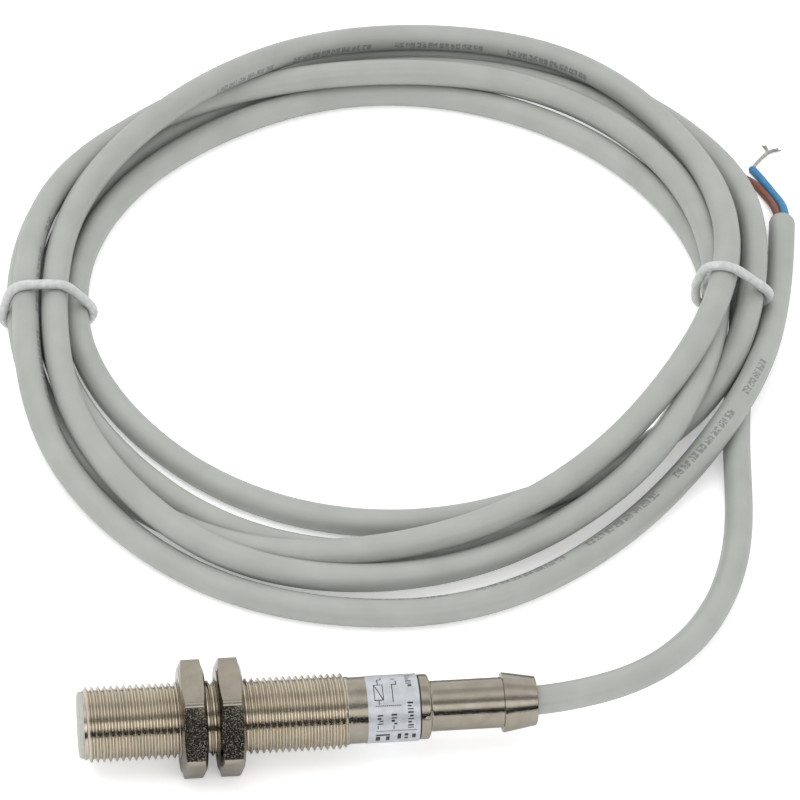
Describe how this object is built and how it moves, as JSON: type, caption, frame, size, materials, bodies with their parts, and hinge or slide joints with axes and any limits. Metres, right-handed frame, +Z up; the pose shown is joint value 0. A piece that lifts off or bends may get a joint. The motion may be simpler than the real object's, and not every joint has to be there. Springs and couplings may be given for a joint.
{
  "type": "proximity sensor",
  "caption": "Inductive proximity sensor with an M12 threaded barrel, two hexagon nuts and a tied coil of two-core lead with stripped ends.",
  "frame": {"origin": "centre of the sensing face", "axes": "+X along the barrel's axis from the sensing face towards the lead, +Z up, with the nuts' flats and the coil resting on the plane 8.5 mm below the axis"},
  "size_m": [0.1458, 0.1857, 0.017],
  "materials": {
    "nickel_brass": "nickel-plated, satin",
    "nut_nickel": "nickel-plated, bright with fine grain",
    "cap_plastic": "moulded PBT, matt",
    "label_foil": "printed silver foil",
    "seal_rubber": "matt",
    "cable_jacket": "extruded PVC, satin",
    "tie_string": "soft twisted cotton",
    "brown_insulation": "PVC, satin",
    "blue_insulation": "PVC, satin",
    "tinned_copper": "tinned strands",
    "ferrite": "pressed, matt",
    "bobbin_plastic": "moulded",
    "enamelled_copper": "enamelled wire",
    "shield_brass": "rolled foil",
    "board_laminate": "solder mask",
    "chip_plastic": "moulded epoxy",
    "tantalum_yellow": "moulded epoxy",
    "capacitor_ceramic": "fired, with tinned ends",
    "potting_resin": "cast epoxy"
  },
  "bodies": {
    "sensor": {"barrel": "nickel_brass", "face_cap": "cap_plastic", "rating_label": "label_foil", "rear_seal": "seal_rubber", "tail_fitting": "nickel_brass", "cable_grommet": "seal_rubber", "ferrite_core": "ferrite", "coil_bobbin": "bobbin_plastic", "coil_winding": "enamelled_copper", "shield_ring": "shield_brass", "coil_leads": "enamelled_copper", "circuit_board": "board_laminate", "oscillator_chip": "chip_plastic", "bridge_rectifier": "chip_plastic", "output_switch": "chip_plastic", "smoothing_capacitor": "tantalum_yellow", "resistors": "chip_plastic", "chip_capacitors": "capacitor_ceramic", "brown_core_inside": "brown_insulation", "blue_core_inside": "blue_insulation", "potting": "potting_resin", "cable_lead": "cable_jacket", "cable_coil": "cable_jacket", "cable_tail": "cable_jacket", "tie_left": "tie_string", "tie_right": "tie_string", "brown_wire": "brown_insulation", "blue_wire": "blue_insulation", "brown_strands": "tinned_copper", "blue_strands": "tinned_copper"},
    "front_nut": {"front_nut": "nut_nickel"},
    "rear_nut": {"rear_nut": "nut_nickel"}
  },
  "joints": [
    {"name": "front_nut_travel", "type": "slide", "parent": "sensor", "child": "front_nut", "axis": [1, 0, 0], "range_m": [-0.0148, 0.0007]},
    {"name": "rear_nut_travel", "type": "slide", "parent": "sensor", "child": "rear_nut", "axis": [1, 0, 0], "range_m": [-0.0007, 0.0162]}
  ]
}
